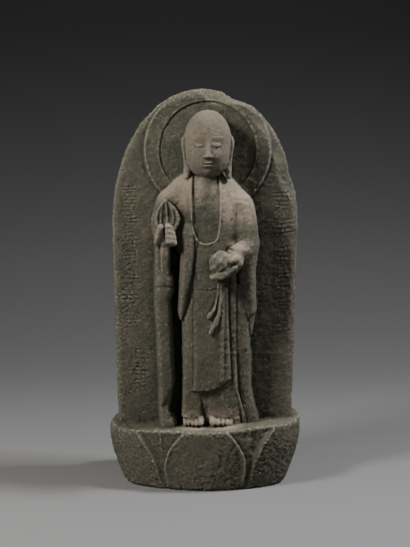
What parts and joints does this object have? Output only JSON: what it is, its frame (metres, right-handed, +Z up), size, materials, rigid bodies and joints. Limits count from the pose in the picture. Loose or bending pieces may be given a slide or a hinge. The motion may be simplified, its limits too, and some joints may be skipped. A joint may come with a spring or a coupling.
{
  "type": "stone jizo statue",
  "caption": "One carved block of stone: a shaven-headed monk holding a ringed staff and a jewel, in high relief on a boat-shaped slab with a round halo, on a lotus petal base",
  "frame": {"origin": "on the ground, under the middle of the base", "axes": "+X to the viewer's right, +Y to the back, +Z up; the figure faces -Y"},
  "size_m": [0.372, 0.218, 0.76],
  "materials": {
    "stone": "matte, weathered, dark grey-brown with paler worn ridges"
  },
  "bodies": {
    "root": {"jizo_stone": "stone"}
  },
  "joints": []
}
